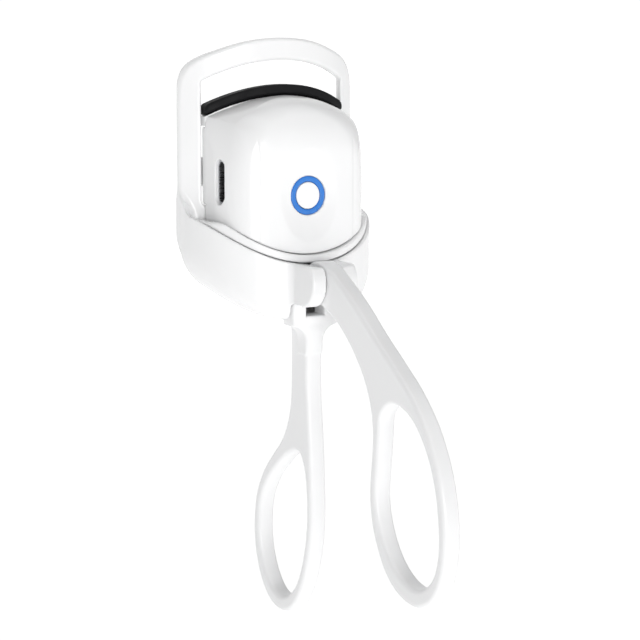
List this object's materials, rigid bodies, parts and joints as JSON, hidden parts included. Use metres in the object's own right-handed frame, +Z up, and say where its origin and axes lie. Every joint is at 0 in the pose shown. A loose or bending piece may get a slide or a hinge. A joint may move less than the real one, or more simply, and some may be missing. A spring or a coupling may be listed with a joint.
{
  "type": "heated eyelash curler",
  "caption": "Hand-held heated eyelash curler: a curved lash frame on a cup, two finger-loop handles, and a battery head with a silicone pad that rises to close the jaw.",
  "frame": {"origin": "centre of the fixed finger loop, on the middle plane of the width", "axes": "+X across the jaw, +Y towards the eye (behind the lash frame), +Z up along the fixed handle towards the jaw"},
  "size_m": [0.042, 0.0759, 0.1222],
  "materials": {
    "white_shell": "gloss",
    "white_handle": "gloss",
    "white_button": "satin",
    "pad_silicone": "matt",
    "pin_steel": "brushed",
    "heater_aluminium": "satin",
    "wire_red": "satin",
    "cell_foil": "satin",
    "tape_yellow": "satin",
    "board_green": "satin",
    "black_plastic": "matt",
    "ring_blue": "gloss",
    "led_white": "gloss"
  },
  "bodies": {
    "frame": {"frame_cup": "white_shell", "rear_handle": "white_handle", "hinge_pin": "pin_steel", "handle_screws": "pin_steel"},
    "moving_handle": {"front_handle": "white_handle", "lift_pin": "pin_steel"},
    "heated_head": {"head_front_shell": "white_shell", "head_base_shell": "white_shell", "head_back_cover": "white_shell", "lash_pad": "pad_silicone", "heater_plate": "heater_aluminium", "heater_wires": "wire_red", "battery_cell": "cell_foil", "battery_tape": "tape_yellow", "circuit_board": "board_green", "charge_chip": "black_plastic", "usb_socket": "pin_steel", "usb_tongue": "black_plastic", "tact_switch": "pin_steel", "light_ring": "ring_blue", "ring_leds": "led_white", "case_screws": "pin_steel", "base_screws": "pin_steel"},
    "power_button": {"button_cap": "white_button"}
  },
  "joints": [
    {"name": "handle_hinge", "type": "hinge", "parent": "frame", "child": "moving_handle", "pos_m": [0, -0.0144, 0.0544], "axis": [1, 0, 0], "range_deg": [0, 26]},
    {"name": "head_slide", "type": "slide", "parent": "frame", "child": "heated_head", "axis": [0, 0, 1], "range_m": [0, 0.0049]},
    {"name": "button_press", "type": "slide", "parent": "heated_head", "child": "power_button", "axis": [0, 1, 0], "range_m": [0, 0.0004], "stiffness_N_per_m": 800, "springref_m": -0.0005}
  ],
  "couplings": [
    {"joint": "head_slide", "follows": "handle_hinge", "m_per_rad": 0.010798}
  ]
}
